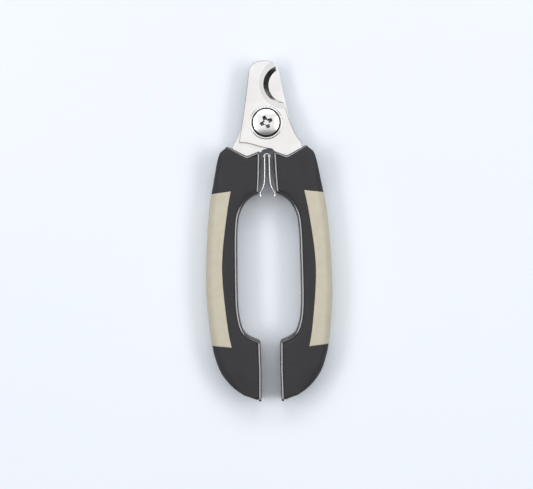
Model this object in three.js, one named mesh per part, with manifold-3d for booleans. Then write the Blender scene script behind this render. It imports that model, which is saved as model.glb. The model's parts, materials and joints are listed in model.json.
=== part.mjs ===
// Pliers-style pet nail clipper, lying on its back. Millimetres, +Z up, +Y towards the blades.
// The origin is the middle of the surface that it lies on. Two steel plates cross on a pivot
// screw. The rear plate carries the left handle, and the front plate carries the right one.
import * as THREE from 'three';
import { mergeVertices } from 'three/addons/utils/BufferGeometryUtils.js';
import Module from 'manifold-3d';

const wasm = await Module();
wasm.setup();

// ---- driving dimensions -------------------------------------------------------------------
const PIVOT_Y = 50.8;            // pivot axis above the middle of the overall length
const HANDLE_THICK = 14;
const EDGE_ROUND = 2;            // rounding of a handle's long edges
const SKIN = 2;                  // soft skin over the hard core
const RIM = 1.1;                 // width of the core's bare rim along the inner edge
const FIT = 0.05;                // clearance between pieces moulded together

const PLATE_THICK = 2.5;
const PLATE_GAP = 0.1;           // running gap between the two plates
const PLATE_BEVEL = 0.25;
const REAR_PLATE_TURN = 3;       // degrees that the rear plate sits ahead of a mirror image
const MOUTH_X = 9.6;             // the round mouth's centre, from the pivot
const MOUTH_Y = 17.7;
const MOUTH_R = 8.35;

const BARREL_R = 3;              // sleeve nut's barrel, the shaft that both plates turn on
const RUNNING_FIT = 0.05;
const SCREW_R = 2;
const HEAD_R = 6.95;
const HEAD_HIGH = 2.9;
const HEAD_RIM = 0.6;            // upright edge under the head's dome
const SCREW_REACH = 1;           // shank's length below the rear plate's back
const RECESS_LONG = 5.6;         // cross recess in the head
const RECESS_WIDE = 1.5;
const RECESS_DEEP = 1.5;
const FRONT_WASHER_R = 7.85;
const REAR_WASHER_R = 6.6;
const NUT_R = 6.2;
const NUT_HIGH = 2.1;
const NUT_CHAMFER = 0.5;
const BORE_REACH = 1.2;          // depth of the nut's bore below the rear plate's back
const WASHER_THICK = 0.5;
const STACK_GAP = 0.02;

const STRIP_THICK = 0.5;         // hairpin spring, bent from a flat strip that stands on edge
const STRIP_WIDE = 6;
const BEND_Y = -16.4;            // centre of the bend
const BEND_R = 1.7;
const CURL_R = 1.15;             // each leg's curl, inside the bend

const MID_Z = HANDLE_THICK / 2;
const FRONT_PLATE_Z = MID_Z + PLATE_GAP / 2;
const REAR_PLATE_Z = MID_Z - PLATE_GAP / 2 - PLATE_THICK;

// ---- materials ----------------------------------------------------------------------------
function finish(color, roughness, metalness) {
  return new THREE.MeshStandardMaterial({ color, roughness, metalness });
}
const steel = () => finish(0xe4e4e2, 0.28, 1);
const chrome = () => finish(0xeeeeee, 0.08, 1);
const springSteel = () => finish(0xc8c8c8, 0.2, 1);
const hardBlack = () => finish(0x26262a, 0.3, 0);
const softBlack = () => finish(0x3d3d40, 0.75, 0);
const softBeige = () => finish(0xc3bda7, 0.7, 0);

// ---- solids -------------------------------------------------------------------------------
function solid(geometry) {
  const bare = geometry.clone();
  bare.deleteAttribute('normal');
  bare.deleteAttribute('uv');
  const merged = mergeVertices(bare, 1e-4);
  return new wasm.Manifold(new wasm.Mesh({
    numProp: 3,
    vertProperties: new Float32Array(merged.attributes.position.array),
    triVerts: new Uint32Array(merged.index.array),
  }));
}

function geometryOf(manifold) {
  const mesh = manifold.getMesh();
  const geometry = new THREE.BufferGeometry();
  geometry.setAttribute('position', new THREE.BufferAttribute(mesh.vertProperties, 3));
  geometry.setIndex(new THREE.BufferAttribute(mesh.triVerts, 1));
  geometry.computeVertexNormals();
  return geometry;
}

// A prism between two heights, its edges rounded by `round` inside the outline.
function prism(outline, low, high, round = 0, steps = 2) {
  const geometry = new THREE.ExtrudeGeometry(new THREE.Shape(outline), {
    depth: high - low - 2 * round,
    bevelEnabled: round > 0,
    bevelSize: round,
    bevelOffset: -round,
    bevelThickness: round,
    bevelSegments: steps,
    steps: 1,
  });
  geometry.translate(0, 0, low + round);
  return geometry;
}

// Moves every side of a counter-clockwise outline outwards by `grow` (inwards when negative).
function offset(outline, grow) {
  return outline.map((point, i) => {
    const before = outline[(i + outline.length - 1) % outline.length];
    const after = outline[(i + 1) % outline.length];
    const a = point.clone().sub(before).normalize();
    const b = after.clone().sub(point).normalize();
    const normal = new THREE.Vector2(a.y + b.y, -a.x - b.x).normalize();
    const stretch = 1 / Math.max(0.5, normal.dot(new THREE.Vector2(a.y, -a.x)));
    return point.clone().addScaledVector(normal, grow * stretch);
  });
}

const at = (x, y) => new THREE.Vector2(x, y);
const mirrored = (outline) => outline.map((p) => at(-p.x, p.y)).reverse();
const smooth = (points, count) => new THREE.SplineCurve(points).getPoints(count);
const turned = (outline, degrees) => {
  const angle = THREE.MathUtils.degToRad(degrees);
  return outline.map((p) => p.clone().rotateAround(at(0, 0), angle));
};

// Points round a circle about the origin, from one angle in degrees to another.
function arc(radius, from, to, count) {
  return Array.from({ length: count + 1 }, (_, i) => {
    const angle = THREE.MathUtils.degToRad(from + (to - from) * (i / count));
    return at(radius * Math.cos(angle), radius * Math.sin(angle));
  });
}

// ---- handle -------------------------------------------------------------------------------
// The right handle's outline, counter-clockwise, measured from the pivot.
const INNER_EDGE = [
  at(3, -13.2), at(3.4, -24), at(3.95, -33.2),
  ...smooth([at(6.2, -34), at(10.1, -36.9), at(13.2, -42.3), at(14.3, -48.6), at(14.7, -60),
    at(14.8, -83.2), at(13.9, -92.6), at(11.9, -98.3), at(8.2, -101)], 15),
  at(4.6, -102.4), at(4.35, -116),
];
const OUTER_EDGE = smooth([at(4.6, -130.9), at(11.8, -128.2), at(18.2, -123.9),
  at(23.2, -118), at(26.2, -110.3), at(27.8, -102), at(29.4, -86), at(29.7, -75),
  at(29.1, -58), at(27.5, -39.5), at(25.3, -27), at(23, -16.5), at(21.2, -12.6)], 22);
const TOP_EDGE = [at(18.6, -10.8), at(9.3, -15.7)];
const HANDLE = [...INNER_EDGE, ...OUTER_EDGE, ...TOP_EDGE];
const GRIP_INNER_EDGE = smooth([at(17.1, -32.4), at(19, -42.5), at(21.4, -61), at(21.6, -75),
  at(19.7, -95.4), at(17.9, -105.6)], 6);
const BEYOND = 40;               // reaches past the handle's outer edge

// The part of the handle outside the grip's curved edge, from its upper to its lower end.
function gripRegion(grow) {
  const edge = GRIP_INNER_EDGE.map((p) => at(p.x - grow, p.y));
  edge[0].y += grow;
  edge[edge.length - 1].y -= grow;
  return prism([...edge, at(BEYOND, -102.1 - grow), at(BEYOND, -34 + grow)],
    -1, HANDLE_THICK + 1);
}

// A band of a given width along the handle's inner edge, between two heights.
function innerBand(width, low, high) {
  const band = offset(HANDLE, -width).slice(0, INNER_EDGE.length + 1);
  const first = at(band[0].x, -10);
  const last = at(band[band.length - 1].x, -135);
  return prism([at(-1, -10), at(-1, -135), last, ...band.reverse(), first], low, high);
}

// The space that the core fills: a slab under the skin, and a rim left bare at the inner edge.
function coreRegion(outline, side, grow) {
  const low = SKIN - grow;
  const high = HANDLE_THICK - SKIN + grow;
  const slab = solid(prism(offset(outline, -low), low, high));
  const web = solid(innerBand(SKIN + 1, low, high));
  const rim = solid(innerBand(RIM + grow, -1, HANDLE_THICK + 1));
  return slab.add(flip(web.add(rim), side));
}

// ---- plates -------------------------------------------------------------------------------
// The front plate, counter-clockwise from the hook's tip, measured from the pivot.
const HOOK_BACK = smooth([at(4.9, 26.3), at(3.2, 28.4), at(0, 29.2), at(-4.2, 28.6), at(-7, 26.4),
  at(-7.9, 22.5), at(-8.8, 15.9), at(-10.6, 3.9), at(-12.4, -6.5)], 14);
const TANG_ROOT = at(2.5, -12.4);
const PIVOT_SKIRT = smooth([at(-12.9, -9), at(-8.5, -9.5), at(-2.4, -11.3), TANG_ROOT], 5);
const TANG = [at(6.2, -16), at(10.5, -30), at(17, -42), at(19, -57), at(24.2, -57),
  at(23.2, -42), at(19.6, -30), at(17.6, -16)];
const TANG_SHOULDER = smooth([at(16.4, -9.8), at(13.6, -5.6), at(11.4, -0.5), at(9.9, 3.9),
  at(8.4, 9.5)], 5);
const MOUTH = arc(MOUTH_R, 258, 124.3, 14).map((p) => at(p.x + MOUTH_X, p.y + MOUTH_Y));
const PLATE = [...HOOK_BACK, ...PIVOT_SKIRT, ...TANG, ...TANG_SHOULDER, ...MOUTH];
const TANG_HOLES = [at(15.2, -33), at(20.9, -50)];
const TANG_HOLE_R = 1.8;

// The tang alone, grown for the slot that the core keeps round it.
const TANG_SLOT = offset([TANG_ROOT, ...TANG, at(17.4, -9)], FIT);

function roundBar(radius, low, high, x, y, sides = 48) {
  const bar = new THREE.CylinderGeometry(radius, radius, high - low, sides);
  bar.rotateX(Math.PI / 2);
  bar.translate(x, y, (low + high) / 2);
  return bar;
}

function plate(outline, holes, low) {
  const high = low + PLATE_THICK;
  let body = solid(prism(outline, low, high, PLATE_BEVEL, 1));
  body = body.subtract(solid(roundBar(BARREL_R + RUNNING_FIT, low - 1, high + 1, 0, 0, 64)));
  for (const hole of holes) {
    body = body.subtract(solid(roundBar(TANG_HOLE_R, low - 1, high + 1, hole.x, hole.y, 20)));
  }
  return body;
}

// A handle's three mouldings. `side` turns the right handle's shapes into the left one's, and
// the tang runs through the core at height `plateZ`, its two holes filled by the core's pegs.
function handle(side, slot, holes, plateZ) {
  const outline = side(HANDLE);
  const whole = solid(prism(outline, 0, HANDLE_THICK, EDGE_ROUND, 3));
  let tang = solid(prism(slot, plateZ - FIT, plateZ + PLATE_THICK + FIT));
  for (const hole of holes) {
    const peg = roundBar(TANG_HOLE_R - FIT, 0, HANDLE_THICK, hole.x, hole.y, 20);
    tang = tang.subtract(solid(peg));
  }
  const soft = whole.subtract(coreRegion(outline, side, FIT)).subtract(tang);
  return {
    core: whole.intersect(coreRegion(outline, side, 0)).subtract(tang),
    skin: soft.subtract(flip(solid(gripRegion(FIT)), side)),
    grip: soft.intersect(flip(solid(gripRegion(0)), side)),
  };
}

const asDrawn = (outline) => outline;
const flip = (body, side) => (side === mirrored ? body.mirror([1, 0, 0]) : body);

// ---- round pieces -------------------------------------------------------------------------
// Turned about the pivot axis; the profile runs from the axis, out, and back to the axis.
function lathe(profile, sides = 48) {
  const geometry = new THREE.LatheGeometry(profile, sides);
  geometry.rotateX(Math.PI / 2);
  return geometry;
}

function ring(inner, outer, low, high) {
  return lathe([at(inner, low), at(outer, low), at(outer, high), at(inner, high),
    at(inner, low)]);
}

function screwSolid(low) {
  const domeHigh = HEAD_HIGH - HEAD_RIM;
  const domeRadius = (HEAD_R ** 2 + domeHigh ** 2) / (2 * domeHigh);
  const domeTop = low + HEAD_HIGH;
  const spread = Math.asin(HEAD_R / domeRadius);
  const dome = [];
  for (let i = 0; i <= 8; i += 1) {
    const angle = spread * (1 - i / 8);
    dome.push(at(domeRadius * Math.sin(angle), domeTop - domeRadius * (1 - Math.cos(angle))));
  }
  const shankEnd = REAR_PLATE_Z - SCREW_REACH;
  const blank = solid(lathe([at(0, shankEnd), at(SCREW_R, shankEnd), at(SCREW_R, low),
    at(HEAD_R, low), ...dome]));
  const slots = [[RECESS_LONG, RECESS_WIDE], [RECESS_WIDE, RECESS_LONG]].map(([wide, tall]) => {
    const slot = new THREE.BoxGeometry(wide, tall, 2 * RECESS_DEEP);
    slot.translate(0, 0, domeTop);
    return solid(slot);
  });
  return blank.subtract(slots[0].add(slots[1]));
}

function nutSolid() {
  const seat = REAR_PLATE_Z - WASHER_THICK - 2 * STACK_GAP;
  const barrelEnd = FRONT_PLATE_Z + PLATE_THICK - FIT;
  const bore = SCREW_R + RUNNING_FIT;
  const boreEnd = REAR_PLATE_Z - BORE_REACH;
  return lathe([at(0, seat - NUT_HIGH), at(NUT_R - NUT_CHAMFER, seat - NUT_HIGH),
    at(NUT_R, seat - NUT_HIGH + NUT_CHAMFER), at(NUT_R, seat), at(BARREL_R, seat),
    at(BARREL_R, barrelEnd), at(bore, barrelEnd), at(bore, boreEnd), at(0, boreEnd)], 64);
}

// ---- spring -------------------------------------------------------------------------------
// A strip of even thickness along a path about the bend's centre.
function strip(path) {
  const side = (distance) => path.map((point, i) => {
    const along = path[Math.min(i + 1, path.length - 1)].clone().sub(path[Math.max(i - 1, 0)]);
    along.normalize();
    return at(point.x - along.y * distance, point.y + along.x * distance);
  });
  const outline = [...side(-STRIP_THICK / 2), ...side(STRIP_THICK / 2).reverse()];
  return geometryOf(solid(prism(outline, -STRIP_WIDE / 2, STRIP_WIDE / 2)));
}

// The right leg from its curl to the end that bears on the handle, about the bend's centre.
const LEG = [...arc(CURL_R, 55, 0, 8), ...smooth([at(1.15, -1.2), at(1.15, -3), at(1.2, -6.6),
  at(1.35, -10.4), at(1.75, -12.9), at(2.6, -15), at(3.4, -16.3), at(3.5, -17.2),
  at(3.2, -18.2)], 28)];
const BEND = arc(BEND_R, 14, 166, 20);

// ---- assembly -----------------------------------------------------------------------------
const clipper = new THREE.Group();
const aboutPivot = new THREE.Group();
aboutPivot.position.set(0, PIVOT_Y, 0);
clipper.add(aboutPivot);

function place(name, geometry, material, x = 0, y = 0, z = 0) {
  const mesh = new THREE.Mesh(geometry, material);
  mesh.name = name;
  mesh.position.set(x, y, z);
  aboutPivot.add(mesh);
}

const rearTurned = (outline) => turned(mirrored(outline), REAR_PLATE_TURN);
const rearHoles = rearTurned(TANG_HOLES);
place('front_blade', geometryOf(plate(PLATE, TANG_HOLES, FRONT_PLATE_Z)), steel());
place('rear_blade', geometryOf(plate(rearTurned(PLATE), rearHoles, REAR_PLATE_Z)), steel());

const right = handle(asDrawn, TANG_SLOT, TANG_HOLES, FRONT_PLATE_Z);
const left = handle(mirrored, rearTurned(TANG_SLOT), rearHoles, REAR_PLATE_Z);
for (const [name, mouldings] of [['left', left], ['right', right]]) {
  place(`${name}_handle_core`, geometryOf(mouldings.core), hardBlack());
  place(`${name}_handle_skin`, geometryOf(mouldings.skin), softBlack());
  place(`${name}_grip_inlay`, geometryOf(mouldings.grip), softBeige());
}

const washerLow = FRONT_PLATE_Z + PLATE_THICK + STACK_GAP;
const headLow = washerLow + WASHER_THICK + STACK_GAP;
const rearWasherHigh = REAR_PLATE_Z - STACK_GAP;
place('pivot_screw', geometryOf(screwSolid(headLow)), chrome());
place('pivot_nut', nutSolid(), chrome());
place('front_washer',
  ring(BARREL_R + FIT, FRONT_WASHER_R, washerLow, washerLow + WASHER_THICK), steel());
place('rear_washer',
  ring(BARREL_R + FIT, REAR_WASHER_R, rearWasherHigh - WASHER_THICK, rearWasherHigh), steel());

place('spring_bend', strip(BEND), springSteel(), 0, BEND_Y, MID_Z);
place('spring_leg_left', strip(mirrored(LEG)), springSteel(), 0, BEND_Y, MID_Z);
place('spring_leg_right', strip(LEG), springSteel(), 0, BEND_Y, MID_Z);

export default clipper;
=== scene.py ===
"""Looks of a pliers-style pet nail clipper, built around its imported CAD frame.

Shapes are worked out in millimetres from the pivot axis, with z from the surface that the
clipper lies on, and `row()` turns them into the frame's metres.
"""
import json
import math

import bmesh
import bpy
import numpy as np
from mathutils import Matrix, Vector


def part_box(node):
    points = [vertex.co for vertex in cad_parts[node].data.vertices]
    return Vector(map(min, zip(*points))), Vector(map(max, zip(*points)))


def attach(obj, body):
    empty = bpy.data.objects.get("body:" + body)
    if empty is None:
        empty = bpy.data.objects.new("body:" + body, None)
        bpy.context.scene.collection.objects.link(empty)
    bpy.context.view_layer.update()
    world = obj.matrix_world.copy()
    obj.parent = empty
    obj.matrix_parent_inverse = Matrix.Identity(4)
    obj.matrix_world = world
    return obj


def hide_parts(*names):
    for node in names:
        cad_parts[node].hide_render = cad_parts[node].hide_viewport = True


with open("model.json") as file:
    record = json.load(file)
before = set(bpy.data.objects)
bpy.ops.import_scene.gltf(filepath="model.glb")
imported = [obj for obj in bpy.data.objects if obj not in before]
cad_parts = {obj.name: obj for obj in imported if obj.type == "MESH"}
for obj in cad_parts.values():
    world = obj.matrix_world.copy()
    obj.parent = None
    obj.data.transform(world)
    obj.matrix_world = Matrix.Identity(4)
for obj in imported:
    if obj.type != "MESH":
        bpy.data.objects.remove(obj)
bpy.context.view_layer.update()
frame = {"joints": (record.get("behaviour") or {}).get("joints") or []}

MM = 0.001
PIVOT = Vector(next(j for j in frame["joints"] if j["name"] == "blade_pivot")["pos_m"])
BEND = Vector(next(j for j in frame["joints"] if j["name"] == "left_leg_bend")["pos_m"])
THICK = (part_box("right_handle_skin")[1].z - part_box("right_handle_skin")[0].z) / MM
MID_Z = THICK / 2
REAR_PLATE_TURN = 3.0  # degrees that the rear plate sits ahead of a mirror image


def row(point):
    """A point in millimetres from the pivot axis, in the frame's metres."""
    return Vector((point[0] * MM, point[1] * MM + PIVOT.y, point[2] * MM))


# ---- curves in plan -------------------------------------------------------------------------
STEP = 0.25          # spacing of a handle edge's points
SOFTENING = 14       # rounding passes over them
MITRE_LIMIT = 0.5    # keeps the mitre of a very sharp corner short


def spline(points, count):
    """A uniform Catmull-Rom curve through the points, as count + 1 samples."""
    points = np.array(points, float)
    padded = np.vstack([points[0], points, points[-1]])
    samples = []
    for t in np.linspace(0, len(points) - 1, count + 1):
        i = min(int(t), len(points) - 2)
        u = t - i
        p0, p1, p2, p3 = padded[i:i + 4]
        v0, v1 = (p2 - p0) / 2, (p3 - p1) / 2
        samples.append((2 * p1 - 2 * p2 + v0 + v1) * u ** 3
                       + (-3 * p1 + 3 * p2 - 2 * v0 - v1) * u ** 2 + v0 * u + p1)
    return np.array(samples)


def distances(points):
    """How far along a polyline in plan each of its points lies."""
    steps = np.linalg.norm(np.diff(points[:, :2], axis=0), axis=1)
    return np.concatenate([[0], np.cumsum(steps)])


def resample(rows, step):
    """Rows that start with a point in plan, read again at even distances about `step` apart."""
    along = distances(rows)
    count = max(2, int(round(along[-1] / step)))
    at = np.linspace(0, along[-1], count + 1)
    return np.column_stack([np.interp(at, along, column) for column in rows.T])


def soften(points, passes):
    """Rounds the corners of an evenly spaced open polyline and keeps its ends."""
    points = points.copy()
    for _ in range(passes):
        points[1:-1] = (points[:-2] + 2 * points[1:-1] + points[2:]) / 4
    return points


def mitres(points):
    """At each point of an open polyline, the vector that moves its sides one unit leftwards."""
    along = np.diff(points, axis=0)
    along /= np.linalg.norm(along, axis=1)[:, None]
    left = np.column_stack([-along[:, 1], along[:, 0]])
    before, after = np.vstack([left[:1], left]), np.vstack([left, left[-1:]])
    middle = before + after
    middle /= np.linalg.norm(middle, axis=1)[:, None]
    return middle / np.maximum(MITRE_LIMIT, np.sum(middle * before, axis=1))[:, None]


class Edge:
    """One long edge of a handle in plan, read by the distance from its upper end."""

    def __init__(self, points, side):
        points = np.array(points, float)
        rows = np.hstack([points, mitres(points) * side])
        self.rows = soften(resample(rows, STEP), SOFTENING)
        self.points = self.rows[:, :2]
        self.along = distances(self.points)
        self.length = self.along[-1]

    def point(self, s):
        return np.array([np.interp(s, self.along, column) for column in self.rows.T[:2]])

    def normal(self, s):
        """Points into the handle, and reaches further where the edge turns."""
        return np.array([np.interp(s, self.along, column) for column in self.rows.T[2:]])

    def nearest(self, x, y):
        return self.along[np.argmin(np.hypot(self.points[:, 0] - x, self.points[:, 1] - y))]


# ---- meshes ---------------------------------------------------------------------------------
SMOOTH = 35       # degrees; edges sharper than this stay crisp where no other angle is given
ON_AXIS = 1e-6    # a profile point nearer to the axis than this lies on it


def mesh_object(name, points, faces, smooth_angle=SMOOTH):
    """A mesh piece in the frame's metres, with edges sharper than the angle kept crisp."""
    mesh = bpy.data.meshes.new(name)
    mesh.from_pydata([row(p) for p in points], [], faces)
    mesh.update()
    obj = bpy.data.objects.new(name, mesh)
    bpy.context.scene.collection.objects.link(obj)
    face_out(obj)
    shade(obj, smooth_angle)
    return obj


def face_out(obj):
    """Turns every face's normal outwards."""
    bm = bmesh.new()
    bm.from_mesh(obj.data)
    bmesh.ops.recalc_face_normals(bm, faces=bm.faces)
    bm.to_mesh(obj.data)
    bm.free()


def shade(obj, smooth_angle):
    """Shades the piece smooth, except across edges sharper than the angle."""
    bm = bmesh.new()
    bm.from_mesh(obj.data)
    for face in bm.faces:
        face.smooth = True
    for edge in bm.edges:
        edge.smooth = len(edge.link_faces) == 2 and \
            edge.calc_face_angle(0) < math.radians(smooth_angle)
    bm.to_mesh(obj.data)
    bm.free()


def apply_modifiers(obj):
    """Bakes the object's modifiers into its mesh."""
    graph = bpy.context.evaluated_depsgraph_get()
    baked = bpy.data.meshes.new_from_object(obj.evaluated_get(graph))
    obj.modifiers.clear()
    obj.data = baked


def cut(obj, cutters, smooth_angle=SMOOTH):
    """Takes the cutters out of the piece and removes them."""
    for cutter in cutters:
        modifier = obj.modifiers.new("cut", "BOOLEAN")
        modifier.operation = "DIFFERENCE"
        modifier.solver = "EXACT"
        modifier.object = cutter
        apply_modifiers(obj)
    for cutter in cutters:
        bpy.data.objects.remove(cutter)
    shade(obj, smooth_angle)


def closed_grid(name, grid, smooth_angle=SMOOTH):
    """A solid lofted through closed sections whose points mirror in z: grid[station][point].
    Point 0 and the middle point lie on the mirror plane, and each end is closed by strips."""
    stations, count = grid.shape[:2]
    half = count // 2
    faces = []
    for s in range(stations - 1):
        for j in range(count):
            k = (j + 1) % count
            faces.append((s * count + j, s * count + k, (s + 1) * count + k, (s + 1) * count + j))
    for first in (0, (stations - 1) * count):
        for j in range(half):
            a, b = first + j, first + j + 1
            c, d = first + (count - j - 1) % count, first + (count - j) % count
            faces.append(tuple(dict.fromkeys((a, b, c, d))))
    return mesh_object(name, grid.reshape(-1, 3), faces, smooth_angle)


def lathe(name, profile, sides=96, smooth_angle=SMOOTH):
    """Turned about the pivot axis; the profile runs from axis to axis, or closes on itself."""
    points, faces, rings = [], [], []
    for r, z in profile:
        if r < ON_AXIS:
            rings.append([len(points)] * sides)
            points.append((0, 0, z))
        else:
            rings.append(list(range(len(points), len(points) + sides)))
            points += [(r * math.cos(a), r * math.sin(a), z)
                       for a in np.linspace(0, 2 * math.pi, sides, endpoint=False)]
    closed = profile[0][0] > ON_AXIS
    for i in range(len(rings) if closed else len(rings) - 1):
        low, high = rings[i], rings[(i + 1) % len(rings)]
        for k in range(sides):
            n = (k + 1) % sides
            face = tuple(dict.fromkeys((low[k], low[n], high[n], high[k])))
            if len(face) > 2:
                faces.append(face)
    return mesh_object(name, points, faces, smooth_angle)


def arc(cx, cz, radius, start, end, count):
    """Profile points on an arc, angles in degrees."""
    return [(cx + radius * math.cos(math.radians(a)), cz + radius * math.sin(math.radians(a)))
            for a in np.linspace(start, end, count)]


def loft_loops(name, loops, smooth_angle=SMOOTH):
    """A solid between closed loops of equal length, capped at both ends."""
    count = len(loops[0])
    points = [p for loop in loops for p in loop]
    faces = []
    for i in range(len(loops) - 1):
        for k in range(count):
            n = (k + 1) % count
            faces.append((i * count + k, i * count + n, (i + 1) * count + n, (i + 1) * count + k))
    faces.append(tuple(range(count)))
    faces.append(tuple((len(loops) - 1) * count + k for k in range(count)))
    return mesh_object(name, points, faces, smooth_angle)


# ---- materials ------------------------------------------------------------------------------
NOISE_SPAN = (0.3, 0.7)   # most of a noise texture's values lie in here


class Finish:
    """A Principled material and the nodes that vary it over the surface."""

    def __init__(self, name, color, roughness, metallic=0.0, **sockets):
        self.material = bpy.data.materials.new(name)
        self.material.use_nodes = True
        self.tree = self.material.node_tree
        self.shader = self.tree.nodes["Principled BSDF"]
        self.shader.inputs["Base Color"].default_value = (*color, 1)
        self.shader.inputs["Roughness"].default_value = roughness
        self.shader.inputs["Metallic"].default_value = metallic
        for socket, value in sockets.items():
            self.shader.inputs[socket.replace("_", " ")].default_value = value
        self.coords = self.tree.nodes.new("ShaderNodeTexCoord")
        self.height = None

    def noise(self, scale, detail, stretch=(1, 1, 1)):
        """Noise in object space; scale is in cycles per metre."""
        mapping = self.tree.nodes.new("ShaderNodeMapping")
        mapping.inputs["Scale"].default_value = stretch
        texture = self.tree.nodes.new("ShaderNodeTexNoise")
        texture.inputs["Scale"].default_value = scale
        texture.inputs["Detail"].default_value = detail
        self.tree.links.new(self.coords.outputs["Object"], mapping.inputs["Vector"])
        self.tree.links.new(mapping.outputs["Vector"], texture.inputs["Vector"])
        return texture.outputs["Fac"]

    def cells(self, scale):
        """Voronoi cells in object space, for a moulded grain."""
        texture = self.tree.nodes.new("ShaderNodeTexVoronoi")
        texture.inputs["Scale"].default_value = scale
        self.tree.links.new(self.coords.outputs["Object"], texture.inputs["Vector"])
        return texture.outputs["Distance"]

    def roughness(self, noise, low, high):
        """Varies the roughness with a noise."""
        node = self.tree.nodes.new("ShaderNodeMapRange")
        node.inputs["From Min"].default_value, node.inputs["From Max"].default_value = NOISE_SPAN
        node.inputs["To Min"].default_value = low
        node.inputs["To Max"].default_value = high
        self.tree.links.new(noise, node.inputs["Value"])
        self.tree.links.new(node.outputs["Result"], self.shader.inputs["Roughness"])

    def tint(self, noise, low, high):
        """Varies the base colour between two colours with a noise."""
        ramp = self.tree.nodes.new("ShaderNodeValToRGB")
        for element, position, color in zip(ramp.color_ramp.elements, NOISE_SPAN, (low, high)):
            element.position = position
            element.color = (*color, 1)
        self.tree.links.new(noise, ramp.inputs["Fac"])
        self.tree.links.new(ramp.outputs["Color"], self.shader.inputs["Base Color"])

    def darken(self, factor):
        """Multiplies the base colour by a grey factor; used to paint shade."""
        mix = self.tree.nodes.new("ShaderNodeMix")
        mix.data_type = "RGBA"
        mix.blend_type = "MULTIPLY"
        mix.inputs["Factor"].default_value = 1.0
        base = self.shader.inputs["Base Color"]
        self.tree.links.new(base.links[0].from_socket, mix.inputs["A"])
        self.tree.links.new(factor, mix.inputs["B"])
        self.tree.links.new(mix.outputs["Result"], base)

    def by_slope(self, stops):
        """A grey that depends on how level the surface is: stops of (|normal z|, grey)."""
        geometry = self.tree.nodes.new("ShaderNodeNewGeometry")
        split = self.tree.nodes.new("ShaderNodeSeparateXYZ")
        size = self.tree.nodes.new("ShaderNodeMath")
        size.operation = "ABSOLUTE"
        self.tree.links.new(geometry.outputs["True Normal"], split.inputs["Vector"])
        self.tree.links.new(split.outputs["Z"], size.inputs[0])
        ramp = self.tree.nodes.new("ShaderNodeValToRGB")
        elements = ramp.color_ramp.elements
        while len(elements) < len(stops):
            elements.new(0.5)
        for element, (position, grey) in zip(elements, stops):
            element.position = position
            element.color = (grey, grey, grey, 1)
        self.tree.links.new(size.outputs["Value"], ramp.inputs["Fac"])
        return ramp.outputs["Color"]

    def bump(self, value, depth_mm, strength):
        """Raises the surface by the value; several bumps add up."""
        node = self.tree.nodes.new("ShaderNodeBump")
        node.inputs["Distance"].default_value = depth_mm * MM
        node.inputs["Strength"].default_value = strength
        self.tree.links.new(value, node.inputs["Height"])
        if self.height is not None:
            self.tree.links.new(self.height, node.inputs["Normal"])
        self.height = node.outputs["Normal"]
        self.tree.links.new(self.height, self.shader.inputs["Normal"])


def blade_steel():
    """Satin stainless sheet with faint lengthwise grinding, soft handling marks and painted shade.
    """
    steel = Finish("blade_steel", (0.86, 0.86, 0.84), 0.24, 1.0)
    steel.roughness(steel.noise(110, 2), 0.2, 0.27)
    steel.tint(steel.noise(85, 3), (0.8, 0.785, 0.755), (0.9, 0.895, 0.88))
    # Painted shade: darker as a face tilts, most on bevel and chamfers, a little on the hollow.
    steel.darken(steel.by_slope([(0.04, 0.6), (0.1, 0.26), (0.8, 0.26), (0.9, 0.84),
                                  (0.996, 0.84), (0.999, 1.0)]))
    steel.bump(steel.noise(700, 2, (6, 0.3, 1)), 0.002, 0.5)
    return steel.material


def bright_chrome():
    chrome = Finish("bright_chrome", (0.84, 0.83, 0.81), 0.16, 1.0)
    chrome.roughness(chrome.noise(400, 3), 0.13, 0.19)
    chrome.tint(chrome.noise(150, 2), (0.78, 0.77, 0.745), (0.88, 0.875, 0.86))
    # Painted shade: steep faces such as recess and slot walls and rounded rims are darkened.
    chrome.darken(chrome.by_slope([(0.0, 0.3), (0.6, 0.3), (0.78, 0.45), (0.88, 1.0)]))
    return chrome.material


def spring_steel():
    strip = Finish("spring_steel", (0.86, 0.86, 0.85), 0.15, 1.0)
    strip.roughness(strip.noise(700, 3), 0.1, 0.22)
    strip.bump(strip.noise(2500, 2, (1, 0.1, 1)), 0.004, 0.5)
    return strip.material


def hard_black():
    """Moulded plastic with a slight waviness, glossy on the bead and duller on its walls."""
    plastic = Finish("hard_black", (0.018, 0.018, 0.02), 0.12, Specular_IOR_Level=1.0)
    gloss = plastic.by_slope([(0.1, 0.5), (0.5, 0.1)])
    plastic.tree.links.new(gloss, plastic.shader.inputs["Roughness"])
    plastic.tint(plastic.noise(300, 2), (0.016, 0.016, 0.018), (0.021, 0.021, 0.023))
    plastic.bump(plastic.noise(120, 2), 0.05, 0.3)
    return plastic.material


def soft_black():
    """Soft-touch moulding with a fine spark-eroded grain."""
    rubber = Finish("soft_black", (0.026, 0.025, 0.027), 0.6, Specular_IOR_Level=0.25)
    rubber.tint(rubber.noise(2600, 3), (0.019, 0.018, 0.02), (0.034, 0.033, 0.036))
    rubber.roughness(rubber.noise(200, 3), 0.55, 0.68)
    rubber.bump(rubber.cells(3800), 0.03, 0.5)
    rubber.bump(rubber.noise(5200, 3), 0.02, 0.5)
    return rubber.material


def soft_beige():
    """Smooth soft grip, slightly mottled."""
    rubber = Finish("soft_beige", (0.55, 0.51, 0.4), 0.5, Specular_IOR_Level=0.4)
    rubber.tint(rubber.noise(240, 4), (0.44, 0.405, 0.315), (0.48, 0.445, 0.35))
    rubber.roughness(rubber.noise(220, 3), 0.45, 0.58)
    rubber.bump(rubber.noise(4200, 3), 0.012, 0.5)
    return rubber.material


FINISHES = {make.__name__: make() for make in
            (blade_steel, bright_chrome, spring_steel, hard_black, soft_black, soft_beige)}


def place(obj, body, node, slot):
    """Gives a piece its finish and body, and hides the CAD part of that node's name."""
    obj.data.materials.clear()
    obj.data.materials.append(FINISHES[slot])
    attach(obj, body)
    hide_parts(node)
    return obj


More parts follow.
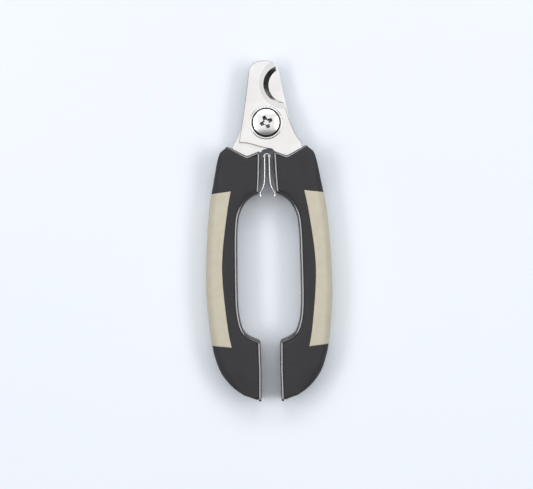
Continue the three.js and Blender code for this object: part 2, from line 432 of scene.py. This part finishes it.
# ---- handles --------------------------------------------------------------------------------
CROWN = 0.5              # rise of a handle's face between its long edges
CROWN_WIDE = 10          # a narrower face rises less
RIM = 1.15               # width of the core's bare bead along the top and inner edges
BEAD_GAP = 0.1           # the skin stops this far short of the bead, and stands this far above it
BEAD_END_ROUND = 0.4
INNER_ROUND = 0.7        # rounding of the skin beside the bead
OUTER_ROUND = 5.2        # rounding of the flank
OUTER_ROUND_ENDS = 1.4   # and of the flank at the handle's two ends
TOP_BLEND = 16           # the flank's rounding grows over these lengths from the two ends
BOTTOM_BLEND = 12
WIDEST_ROUND = 0.45      # most of a section's width that the flank's rounding takes
WIDEST_LIP = 0.3         # and the rounding beside the bead
SLANT_LIMIT = 0.6        # keeps the rounding of a slanting section from growing too wide
END_ROUND = 1.0          # rounding of the skin at a handle's two ends
END_TUCK = 0.8           # how far its end is drawn in, per millimetre of that rounding
INNER_TUCK = 0.3         # share of the tuck on the inner edge
BOTTOM_TUCK = 0.1        # and on the outer edge's bottom end
TOP_SETBACK = 1.45       # how far the skin stops short of the bare bead at the top
END_SETBACK = 0.3        # at the ends of the outer edge
BOTTOM_SETBACK = 0.9     # and at the inner edge's bottom end
# The bead's section as (share of RIM from its free side, drop from its crest): a sloping
# bevel towards the free side that catches the light.
BEAD_PROFILE = [(0, 1.0), (0, 0.75), (0.05, 0.6), (0.14, 0.42), (0.26, 0.28), (0.36, 0.21),
                (0.56, 0.12), (0.76, 0.03), (0.84, 0.0), (0.92, 0.02), (0.98, 0.12), (1, 0.4)]
INLAY_DEPTH = 0.7
INLAY_PROUD = 0.1
INLAY_BED = 0.02         # play between the inlay's underside and its recess
INLAY_FALL = np.array([0.3, 0.1, 0.0])   # drop of an inlay's first three rows from its border
MARGIN = 0.12            # keeps the proud inlay inside the handle's outline
SEAM = 0.05              # half the width of the fine gap round an inlay
SEAM_ROWS = (SEAM, SEAM + 0.1, SEAM + 0.35)   # rows of points beside the gap

INNER_LINE = [
    (3, -13.2), (3.4, -24), (3.95, -33.2),
    *spline([(6.2, -34), (10.1, -36.9), (13.2, -42.3), (14.3, -48.6), (14.7, -60),
             (14.8, -83.2), (13.9, -92.6), (11.9, -98.3), (8.2, -101)], 60),
    (4.6, -102.4), (4.35, -116), (4.6, -130.6)]
INNER_EDGE = Edge(INNER_LINE, 1)
OUTER_EDGE = Edge(
    spline([(21.2, -12.6), (23, -16.5), (25.3, -27), (27.5, -39.5), (29.1, -58), (29.7, -75),
            (29.4, -86), (27.8, -102), (26.2, -110.3), (23.2, -118), (18.2, -123.9),
            (12, -128.1)], 90), -1)
TOP_CREST = [(3, -13.2), (9.3, -15.7), (18.6, -10.8), (21.2, -12.6)]
BEAD_START = (19.4, -11.5)   # just past the zigzag's outer peak
GRIP_BOUNDARY = spline([(17.1, -32.4), (19, -42.5), (21.4, -61), (21.6, -75), (19.7, -95.4),
                        (17.9, -105.6)], 60)
# Points on the inner and outer edges that one cross-section joins, between the two ends.
SECTION_KEYS = [((3.85, -31.6), (26.4, -33.1)), ((14.3, -48.6), (28.4, -49.5)),
                ((14.8, -83.2), (29.4, -84.5)), ((4.45, -105.3), (27.5, -104.3))]
INLAY_KEYS = (1, 4)      # the inlay runs between these of them, with the top end counted as 0
STATION = 1.1            # spacing of the cross-sections
CLEAR_OF_END = 1.2       # no evenly spaced one lies nearer than this to an end
CLEAR_OF_SEAM = 0.8      # or to a seam
WALL_ROW = 0.6           # height of a wall's one middle row, as a share of the wall
SKIN_ROWS = 9            # rows across a face on the skin's side of the seam, without the seam's
INLAY_ROWS = 7           # and on the inlay's side
FLANK_ROWS = 9
CLEAR_ACROSS = 1.6       # they start this many times as far from the seam as its last row
INLAY_LEAST = 0.05       # smallest share of a face on the inlay's side
# Shares of a face at which the inlay's border may cross it.
BORDER_SHARES = np.linspace(0.25, 0.8, 221)
CREST_BLUR = 0.6         # rounding of the zigzag's corners
CREST_REACH = 10         # how far down the handle the zigzag fades out


def smoothstep(t):
    t = min(max(t, 0.0), 1.0)
    return t * t * (3 - 2 * t)


def round_drop(distance, radius):
    """How far a rounded end has fallen at a distance in from it."""
    if distance >= radius:
        return 0.0
    return radius - math.sqrt(max(0.0, radius ** 2 - (radius - distance) ** 2))


def handle_stations():
    """Pairs of distances along the inner and outer edge, and the two inlay ends' indices."""
    keys = [(TOP_SETBACK, END_SETBACK)]
    keys += [(INNER_EDGE.nearest(*a), OUTER_EDGE.nearest(*b)) for a, b in SECTION_KEYS]
    keys.append((INNER_EDGE.length - BOTTOM_SETBACK, OUTER_EDGE.length - END_SETBACK))
    near_end = [END_ROUND * (1 - math.cos(math.radians(a))) for a in (18, 36, 54, 72, 90)]
    pairs, ends = [], []
    for i, (low, high) in enumerate(zip(keys, keys[1:])):
        low, high = np.array(low), np.array(high)
        span = max(high - low)
        at = list(np.linspace(0, 1, max(2, int(span / STATION)) + 1)[:-1])
        if i == 0:
            rest = [t for t in at if t * span > CLEAR_OF_END]
            at = [0.0] + [d / span for d in near_end] + rest
        if i == len(keys) - 2:
            at = [t for t in at if (1 - t) * span > CLEAR_OF_END]
            at += [1 - d / span for d in reversed(near_end)] + [1.0]
        if i in INLAY_KEYS:
            rest = [t for t in at if t * span > CLEAR_OF_SEAM]
            at = [0.0] + [d / span for d in SEAM_ROWS] + rest
            ends.append(len(pairs))
        if i + 1 in INLAY_KEYS:
            at = [t for t in at if (1 - t) * span > CLEAR_OF_SEAM]
            at += [1 - d / span for d in reversed(SEAM_ROWS)]
        pairs += [tuple(low + (high - low) * t) for t in at]
    return pairs, ends


def crest_shift(x):
    """How far the handle's zigzag top lies above a straight line across it."""
    xs, ys = zip(*TOP_CREST)
    line = np.interp(x, (xs[0], xs[-1]), (ys[0], ys[-1]))
    spread = [np.interp(x + share * CREST_BLUR, xs, ys) for share in (-1, -0.5, 0, 0.5, 1)]
    fade = smoothstep((x - xs[0]) / CREST_BLUR) * smoothstep((xs[-1] - x) / CREST_BLUR)
    return float(np.mean(spread) - line) * fade


def boundary_share(a, b):
    """The share of the line from a to b at which it comes nearest to the grip's inner
    boundary."""
    points = a + (b - a) * BORDER_SHARES[:, None]
    order = np.argsort(GRIP_BOUNDARY[:, 1])
    limit = np.interp(points[:, 1], GRIP_BOUNDARY[order, 1], GRIP_BOUNDARY[order, 0])
    return float(BORDER_SHARES[np.argmin(np.abs(points[:, 0] - limit))])


def end_distances(si):
    """Distances along the inner edge from the skin's top end and from its bottom end."""
    return max(0.0, si - TOP_SETBACK), max(0.0, INNER_EDGE.length - BOTTOM_SETBACK - si)


def skin_section(si, so):
    """Front half of the skin's section, inner mid-plane to outer mid-plane, and the index of
    its first point on the inlay's side of the boundary."""
    top, bottom = end_distances(si)
    near = min(top, bottom)
    tuck = round_drop(near, END_ROUND) * END_TUCK
    inner = INNER_EDGE.point(si) + INNER_EDGE.normal(si) * (RIM + BEAD_GAP + INNER_TUCK * tuck)
    outer_tuck = tuck if top < bottom else BOTTOM_TUCK * tuck
    outer = OUTER_EDGE.point(so) + OUTER_EDGE.normal(so) * (outer_tuck + MARGIN)
    width = np.linalg.norm(outer - inner)
    across = (inner - outer) / width
    across /= max(SLANT_LIMIT, float(across @ OUTER_EDGE.normal(so)))
    blend = smoothstep(top / TOP_BLEND) * smoothstep(bottom / BOTTOM_BLEND)
    flank = OUTER_ROUND_ENDS + (OUTER_ROUND - OUTER_ROUND_ENDS) * blend
    flank = min(flank, WIDEST_ROUND * width)
    lip = min(INNER_ROUND, WIDEST_LIP * width)
    high = MID_Z - MARGIN - CROWN - round_drop(near, END_ROUND)
    a = inner + INNER_EDGE.normal(si) * lip
    b = outer + across * flank
    points = [(*inner, 0.0), (*inner, WALL_ROW * (high - lip))]
    for angle in np.radians([0, 22.5, 45, 67.5]):
        offset = lip * (1 - math.cos(angle))
        points.append((*(inner + INNER_EDGE.normal(si) * offset),
                       high - lip + lip * math.sin(angle)))
    share = boundary_share(a, b)
    cap = np.linalg.norm(b - a)
    close = [d / cap for d in SEAM_ROWS]
    beside = close[-1] * CLEAR_ACROSS
    share = min(share, 1 - INLAY_LEAST - beside)
    shares = list(np.linspace(0, 1, SKIN_ROWS + 1)[:-1] * (share - beside))
    shares += [share - c for c in reversed(close)]
    first = len(points) + len(shares)
    shares += [share + c for c in close]
    shares += list(share + beside + np.linspace(0, 1, INLAY_ROWS) * (1 - share - beside))
    crown = CROWN * min(1.0, cap / CROWN_WIDE)
    for v in shares:
        points.append((*(a + (b - a) * v), high + crown * (1 - (2 * v - 1) ** 2)))
    drop = min(flank, high)
    for angle in np.radians(np.linspace(10, 90, FLANK_ROWS)):
        offset = flank * (1 - math.sin(angle))
        points.append((*(outer + across * offset), high - drop + drop * math.cos(angle)))
    points.append((*outer, 0.5 * (high - drop)))
    points.append((*outer, 0.0))
    lift = 1 - smoothstep(top / CREST_REACH)
    return [(x, y + lift * crest_shift(x), z) for x, y, z in points], first


def mirror_section(half):
    """A full section about the handle's middle height."""
    back = [(x, y, -z) for x, y, z in half[-2:0:-1]]
    return [(x, y, z + MID_Z) for x, y, z in [*half, *back]]


def surface_normals(grid):
    """Unit normals at the points of a grid of closed sections."""
    along = np.gradient(grid, axis=0)
    around = np.roll(grid, -1, axis=1) - np.roll(grid, 1, axis=1)
    normals = np.cross(around, along)
    lengths = np.linalg.norm(normals, axis=2)[..., None]
    return normals / np.maximum(lengths, 1e-9)


def sided(grid, side):
    """The grid as drawn for the right handle, or mirrored for the left one."""
    return grid if side > 0 else grid * np.array([-1.0, 1.0, 1.0])


def make_handle(name, side, body):
    pairs, (top_end, bottom_end) = handle_stations()
    halves = [skin_section(*pair) for pair in pairs]
    first = halves[0][1]
    grid = np.array([mirror_section(half) for half, _ in halves])
    count = grid.shape[1]
    last = count - first
    normals = surface_normals(grid)
    if np.mean(normals[:, count // 2, 0]) < 0:
        normals = -normals

    sunk = grid.copy()
    inlaid = slice(top_end + 1, bottom_end)
    sunk[inlaid, first:last + 1] -= normals[inlaid, first:last + 1] * INLAY_DEPTH
    skin = closed_grid(f"{name}_handle_skin", sided(sunk, side))
    place(skin, body, f"{name}_handle_skin", "soft_black")

    outer = grid[inlaid, first:last + 1]
    outward = normals[inlaid, first:last + 1]
    stations, across = outer.shape[:2]
    from_end = np.minimum(np.arange(stations), np.arange(stations)[::-1])
    from_side = np.minimum(np.arange(across), np.arange(across)[::-1])
    last_row = len(INLAY_FALL) - 1
    edge = np.maximum(INLAY_FALL[np.minimum(from_end, last_row)][:, None],
                      INLAY_FALL[np.minimum(from_side, last_row)])
    top_skin = outer + outward * (INLAY_PROUD - edge)[..., None]
    under = outer - outward * (INLAY_DEPTH - INLAY_BED)
    inlay = shell(f"{name}_grip_inlay", sided(top_skin, side), sided(under, side))
    place(inlay, body, f"{name}_grip_inlay", "soft_beige")

    bead = closed_grid(f"{name}_handle_core", sided(bead_grid(), side), 50)
    place(bead, body, f"{name}_handle_core", "hard_black")


def shell(name, outer, inner):
    """A closed shell between two grids of the same size."""
    rows, columns = outer.shape[:2]
    points = np.vstack([outer.reshape(-1, 3), inner.reshape(-1, 3)])
    base = rows * columns
    faces = []
    for i in range(rows - 1):
        for j in range(columns - 1):
            quad = (i * columns + j, i * columns + j + 1, (i + 1) * columns + j + 1,
                    (i + 1) * columns + j)
            faces.append(quad)
            faces.append(tuple(base + k for k in reversed(quad)))
    border = list(range(columns))
    border += [i * columns + columns - 1 for i in range(1, rows)]
    border += [(rows - 1) * columns + j for j in range(columns - 2, -1, -1)]
    border += [i * columns for i in range(rows - 2, 0, -1)]
    for a, b in zip(border, border[1:] + border[:1]):
        faces.append((a, b, base + b, base + a))
    return mesh_object(name, points, faces)


def bead_grid():
    """Sections of the core's bare bead, bevelled on both faces, and the wall between them.
    It follows the zigzag top and the inner edge."""
    # The rows are 2 * STEP apart, so the bead's end rounding is twice as long as it is high.
    rows = Edge([BEAD_START, *TOP_CREST[-2:0:-1], *INNER_LINE], 1).rows[::2]
    sections = []
    for i, (spot, way_in) in enumerate(zip(rows[:, :2], rows[:, 2:])):
        inward = way_in * RIM
        free = spot + way_in * MARGIN
        x, y = free + inward
        end_drop = round_drop(min(i, len(rows) - 1 - i) * STEP, BEAD_END_ROUND)
        high = MID_Z - MARGIN - CROWN - BEAD_GAP - end_drop
        half = [(*free, 0.0), (*free, high * WALL_ROW)]
        half += [(*(free + inward * share), high - drop) for share, drop in BEAD_PROFILE]
        half += [(x, y, high * WALL_ROW), (x, y, 0.0)]
        sections.append(mirror_section(half))
    return np.array(sections)


make_handle("right", 1, "front_half")
make_handle("left", -1, "rear_half")


# ---- blades ---------------------------------------------------------------------------------
TANG_ROOT = (2.5, -12.4)
MOUTH_CENTRE = (9.6, 17.7)
MOUTH_R = 8.35
PLATE_OUTLINE = np.vstack([
    spline([(4.9, 26.3), (3.2, 28.4), (0, 29.15), (-4.2, 28.6), (-7, 26.4), (-7.9, 22.5),
            (-8.8, 15.9), (-10.6, 3.9), (-12.4, -6.5)], 60),
    spline([(-12.9, -9), (-8.5, -9.5), (-2.4, -11.3), TANG_ROOT], 20),
    [(6.2, -16), (10.5, -30), (17, -42), (19, -57), (24.2, -57), (23.2, -42), (19.6, -30),
     (17.6, -16)],
    spline([(16.4, -9.8), (13.6, -5.6), (11.4, -0.5), (9.9, 3.9), (8.4, 9.5)], 24),
    arc(*MOUTH_CENTRE, MOUTH_R - 0.6, 258, 124.3, 28),   # inside what the bevel cuts away
])
CHAMFER = 0.18
SHARP = 12               # degrees; a blade's edges stay crisp above this
LAND = 0.15              # upright strip left under the mouth's bevel
BEVEL_CENTRE = (7.6, 18.15)
BEVEL_R = 9.0
HOLLOW_CENTRE = (9.2, 18.3)
HOLLOW_FLOOR_R = 9.4
HOLLOW_R = 12.1
HOLLOW_DEPTH = 0.48
BARREL_R = 3.05


def circle(centre, radius, z, count=128):
    return [(centre[0] + radius * math.cos(a), centre[1] + radius * math.sin(a), z)
            for a in np.linspace(0, 2 * math.pi, count, endpoint=False)]


def inset(outline, amount):
    """Moves each point of a counter-clockwise outline inwards."""
    before, after = np.roll(outline, 1, axis=0), np.roll(outline, -1, axis=0)
    a = (outline - before) / np.linalg.norm(outline - before, axis=1)[:, None]
    b = (after - outline) / np.linalg.norm(after - outline, axis=1)[:, None]
    normal = np.column_stack([-(a + b)[:, 1], (a + b)[:, 0]])
    normal /= np.linalg.norm(normal, axis=1)[:, None]
    reach = np.abs(normal[:, 0] * -a[:, 1] + normal[:, 1] * a[:, 0])
    reach = np.maximum(MITRE_LIMIT, reach)
    return outline + normal * (amount / reach)[:, None]


def plate_blank(name, low, high):
    """The front plate's shape: low is the face against the other plate, high the open face."""
    step = math.copysign(CHAMFER, high - low)
    small = inset(PLATE_OUTLINE, CHAMFER)
    loops = [[(x, y, low) for x, y in PLATE_OUTLINE],
             [(x, y, high - step) for x, y in PLATE_OUTLINE],
             [(x, y, high) for x, y in small]]
    return loft_loops(name, loops, 30)


def make_blade(name, body, up):
    """The front plate, whose open face looks up (1), or its mirror image at the rear (-1). The
    cutters for the hollow, the mouth's bevel and the pivot's hole run on past its faces."""
    box_low, box_high = (corner.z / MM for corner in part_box(name))
    low, high = (box_low, box_high) if up > 0 else (box_high, box_low)
    blade = plate_blank(name, low, high)
    hollow = loft_loops("hollow", [
        circle(HOLLOW_CENTRE, HOLLOW_FLOOR_R, high - up * HOLLOW_DEPTH),
        circle(HOLLOW_CENTRE, HOLLOW_R, high),
        circle(HOLLOW_CENTRE, HOLLOW_R + 1.2, high + up * 0.4)])
    bevel = loft_loops("bevel", [
        circle(MOUTH_CENTRE, MOUTH_R - 0.4, low - up * 0.2),
        circle(MOUTH_CENTRE, MOUTH_R, low + up * LAND),
        circle(BEVEL_CENTRE, BEVEL_R, high),
        circle(BEVEL_CENTRE, BEVEL_R + 0.8, high + up * 0.8)])
    hole = loft_loops("hole", [circle((0, 0), BARREL_R, z) for z in (low - up, high + up)])
    cut(blade, [hollow, bevel, hole], SHARP)
    if up < 0:
        turn_over(blade)
    place(blade, body, name, "blade_steel")


def turn_over(obj):
    """Mirrors a piece across the clipper's middle and turns it about the pivot."""
    angle = math.radians(REAR_PLATE_TURN)
    for vertex in obj.data.vertices:
        x, y = -vertex.co.x, vertex.co.y - PIVOT.y
        vertex.co.x = x * math.cos(angle) - y * math.sin(angle)
        vertex.co.y = x * math.sin(angle) + y * math.cos(angle) + PIVOT.y
    face_out(obj)
    shade(obj, SHARP)


make_blade("front_blade", "front_half", 1)
make_blade("rear_blade", "rear_half", -1)


# ---- pivot ----------------------------------------------------------------------------------
WASHER_ROLL = 0.5    # width of the rolled-over edge on a washer's open face
WASHER_LIP = 0.08    # height of the upright strip under it
WASHER_UNDER = 0.1   # a washer's back is this much smaller in radius
STACK_GAP = 0.02     # between a head and its washer
HEAD_RIM = 0.5       # rounding of the screw head's edge
HEAD_EDGE = 1.5      # height of the head below its dome
SHANK_R = 1.95
RECESS_TURN = 22     # degrees that the cross recess is turned
# The cross recess as (height above the head's top, arm's length, half of the arm's width).
RECESS = ((-1.9, 1.2, 0.4), (0, 3.3, 0.8), (0.6, 3.8, 0.9))
NUT_RISE = 0.7       # the dome of the nut's flange
NUT_ROUND = 0.4
NUT_BARREL_R = 2.98
NUT_BORE_R = 2.06
NUT_BORE_END = 1.6   # the bore stops this far above the flange's seat
SLOT_HALF = 0.7      # half of the nut's slot's width
SLOT_REACH = 7       # its cutter runs on past the flange
SLOT_DEEP = 1.0


def make_washer(node, up):
    """A pressed ring, its outer edge rolled over towards the open face."""
    low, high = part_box(node)
    outer = (high.x - low.x) / 2 / MM
    seat, face = (low.z / MM, high.z / MM) if up > 0 else (high.z / MM, low.z / MM)
    mid, r = (seat + face) / 2, abs(face - seat) / 2
    profile = [(BARREL_R + r, seat), (outer - WASHER_UNDER, seat)]
    for angle in np.radians(np.linspace(0, 90, 10)):
        profile.append((outer - WASHER_ROLL * (1 - math.cos(angle)),
                        seat + up * (WASHER_LIP + (2 * r - WASHER_LIP) * math.sin(angle))))
    start, end = (90, 250) if up > 0 else (270, 110)
    profile += arc(BARREL_R + r, mid, r, start, end, 8)
    place(lathe(node, profile), "rear_half", node, "blade_steel")


def cross_cutter(top):
    """A tapered four-armed driver recess."""
    loops = []
    for height, arm, half in RECESS:
        loop = []
        for quarter in range(4):
            for x, y in ((arm, -half), (arm, half), (half * 1.3, half * 1.3)):
                angle = math.radians(90 * quarter + RECESS_TURN)
                loop.append((x * math.cos(angle) - y * math.sin(angle),
                             x * math.sin(angle) + y * math.cos(angle), top + height))
        loops.append(loop)
    return loft_loops("recess", loops, 20)


def make_screw():
    low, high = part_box("pivot_screw")
    head_r = (high.x - low.x) / 2 / MM
    top = high.z / MM
    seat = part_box("front_washer")[1].z / MM + STACK_GAP
    dome_high = top - seat - HEAD_EDGE
    dome_wide = head_r - HEAD_RIM
    dome_r = (dome_wide ** 2 + dome_high ** 2) / (2 * dome_high)
    spread = math.degrees(math.asin(dome_wide / dome_r))
    dome = arc(0, top - dome_r, dome_r, 90 - spread, 90, 24)
    edge = arc(dome_wide, seat + HEAD_RIM, HEAD_RIM, -90, 90 - spread, 12)
    profile = [(0, low.z / MM), (SHANK_R, low.z / MM), (SHANK_R, seat), *edge, *dome[1:-1],
               (0, top)]
    screw = lathe("pivot_screw", profile, 128, 50)
    cut(screw, [cross_cutter(top)], 40)
    place(screw, "rear_half", "pivot_screw", "bright_chrome")


def make_nut():
    """The sleeve nut: a low domed flange behind the plates and the barrel they turn on."""
    low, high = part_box("pivot_nut")
    flange_r = (high.x - low.x) / 2 / MM
    bottom, top = low.z / MM, high.z / MM
    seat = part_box("rear_washer")[0].z / MM - STACK_GAP
    dome_wide = flange_r - NUT_ROUND
    dome_r = (dome_wide ** 2 + NUT_RISE ** 2) / (2 * NUT_RISE)
    spread = math.degrees(math.asin(dome_wide / dome_r))
    dome = arc(0, bottom + dome_r, dome_r, -90, spread - 90, 16)
    bore_end = seat + NUT_BORE_END
    profile = [(0, bottom), *dome[1:], *arc(dome_wide, seat - NUT_ROUND, NUT_ROUND, 0, 90, 6),
               (NUT_BARREL_R, seat), (NUT_BARREL_R, top), (NUT_BORE_R, top),
               (NUT_BORE_R, bore_end), (0, bore_end)]
    nut = lathe("pivot_nut", profile, 96, 40)
    slot = loft_loops("slot", [
        [(-SLOT_REACH, -SLOT_HALF, z), (SLOT_REACH, -SLOT_HALF, z),
         (SLOT_REACH, SLOT_HALF, z), (-SLOT_REACH, SLOT_HALF, z)]
        for z in (bottom - 1, bottom + SLOT_DEEP)])
    cut(nut, [slot], 40)
    place(nut, "rear_half", "pivot_nut", "bright_chrome")


make_washer("front_washer", 1)
make_washer("rear_washer", -1)
make_screw()
make_nut()


# ---- spring ---------------------------------------------------------------------------------
STRIP_THICK = 0.5
STRIP_ROUND = 0.2         # rounding of the strip's long edges
BEND_R = 1.7
CURL_R = 1.15             # each leg's curl, inside the bend


def strip(name, path, body):
    """A flat strip on edge along the path about the bend's centre, its edges rounded."""
    low, high = (corner.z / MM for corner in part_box(name))
    path = np.array(path) + (0, (BEND.y - PIVOT.y) / MM)
    along = np.gradient(path, axis=0)
    along /= np.linalg.norm(along, axis=1)[:, None]
    across = np.column_stack([-along[:, 1], along[:, 0]])
    wide = STRIP_THICK / 2 - STRIP_ROUND
    upper, lower = high - STRIP_ROUND, low + STRIP_ROUND
    corners = [(wide, upper, 90), (-wide, upper, 180), (-wide, lower, 270), (wide, lower, 360)]
    section = [p for x, z, end in corners for p in arc(x, z, STRIP_ROUND, end - 90, end, 4)]
    loops = [[(*(point + side * x), z) for x, z in section] for point, side in zip(path, across)]
    place(loft_loops(name, loops, 40), body, name, "spring_steel")


def make_spring():
    """A hairpin bend over the curled tops of its two legs."""
    curl = arc(0, 0, CURL_R, 55, 0, 12)
    sweep = spline([(1.15, -1.2), (1.15, -3), (1.2, -6.6), (1.35, -10.4), (1.75, -12.9),
                    (2.6, -15), (3.4, -16.3), (3.5, -17.2), (3.2, -18.2)], 48)
    leg = np.vstack([curl, sweep])
    strip("spring_bend", arc(0, 0, BEND_R, 14, 166, 28), "bend")
    strip("spring_leg_left", leg * (-1, 1), "left_leg")
    strip("spring_leg_right", leg, "right_leg")


make_spring()


# ---- stage ----------------------------------------------------------------------------------
VIEW_WIDE_MM = 249.4      # width of the picture at the clipper's height
CAMERA_HIGH = 0.6         # metres above the clipper's framed height
FRAMED_HEIGHT = 0.8       # that height, as a share of the clipper's thickness
SENSOR_MM = 36
FLOOR_HALF = 10           # metres
ROLL = 1.1                # degrees that the clipper leans in the picture
PIVOT_IN_VIEW = (-0.15, 57.2)   # the pivot's place from the picture's centre, millimetres


def make_floor():
    mesh = bpy.data.meshes.new("floor")
    corners = [(x * FLOOR_HALF, y * FLOOR_HALF, 0) for x, y in ((-1, -1), (1, -1), (1, 1), (-1, 1))]
    mesh.from_pydata(corners, [], [(0, 1, 2, 3)])
    floor = bpy.data.objects.new("floor", mesh)
    bpy.context.scene.collection.objects.link(floor)
    paper = Finish("floor_paper", (0.7, 0.74, 0.79), 0.7)
    paper.tint(paper.noise(3, 2), (0.69, 0.73, 0.78), (0.71, 0.75, 0.8))
    mesh.materials.append(paper.material)


def make_camera():
    data = bpy.data.cameras.new("camera")
    data.sensor_width = SENSOR_MM
    data.lens = SENSOR_MM * CAMERA_HIGH / (VIEW_WIDE_MM * MM)
    camera = bpy.data.objects.new("camera", data)
    roll = math.radians(ROLL)
    x, y = PIVOT_IN_VIEW
    offset = Vector((x * math.cos(-roll) - y * math.sin(-roll),
                     x * math.sin(-roll) + y * math.cos(-roll), 0)) * MM
    camera.location = PIVOT - offset
    camera.location.z = CAMERA_HIGH + THICK * MM * FRAMED_HEIGHT
    camera.rotation_euler = (0, 0, -roll)
    bpy.context.scene.collection.objects.link(camera)
    bpy.context.scene.camera = camera


def soft_light(name, location, size, energy):
    data = bpy.data.lights.new(name, "AREA")
    data.shape = "RECTANGLE"
    data.size, data.size_y = size
    data.energy = energy
    light = bpy.data.objects.new(name, data)
    light.location = location
    aim = (-Vector(location)).to_track_quat("-Z", "Y")
    light.rotation_euler = aim.to_euler()
    bpy.context.scene.collection.objects.link(light)


def make_world():
    """A studio that is bright overhead, and dim at the horizon and on the near side: its light
    rises from one share to another along the upward axis and along the clipper's length."""
    world = bpy.data.worlds.new("studio")
    world.use_nodes = True
    tree = world.node_tree
    coords = tree.nodes.new("ShaderNodeTexCoord")
    split = tree.nodes.new("ShaderNodeSeparateXYZ")
    tree.links.new(coords.outputs["Generated"], split.inputs["Vector"])
    shares = []
    # Each rise as (axis, where it starts, where it ends, share before it, share after it).
    rises = (("Z", 0.3, 0.6, 0.06, 1.0), ("Y", -0.6, -0.2, 0.2, 1.0))
    for axis, dark, bright, low, high in rises:
        level = tree.nodes.new("ShaderNodeMapRange")
        level.interpolation_type = "SMOOTHSTEP"
        level.inputs["From Min"].default_value = dark
        level.inputs["From Max"].default_value = bright
        level.inputs["To Min"].default_value = low
        level.inputs["To Max"].default_value = high
        tree.links.new(split.outputs[axis], level.inputs["Value"])
        shares.append(level.outputs["Result"])
    product = tree.nodes.new("ShaderNodeMath")
    product.operation = "MULTIPLY"
    for i, share in enumerate(shares):
        tree.links.new(share, product.inputs[i])
    tree.links.new(product.outputs["Value"], tree.nodes["Background"].inputs["Strength"])
    tree.nodes["Background"].inputs["Color"].default_value = (1.0, 1.0, 1.02, 1)
    bpy.context.scene.world = world


make_floor()
make_camera()
make_world()
# Places and sizes in metres, power in watts.
for name, x in (("left_strip", -0.85), ("right_strip", 0.85)):
    soft_light(name, (x, 0.05, 0.9), (0.9, 0.35), 5)
soft_light("far_box", (0, 0.95, 0.9), (1.3, 0.3), 4.6)
bpy.context.scene.view_settings.view_transform = "Standard"
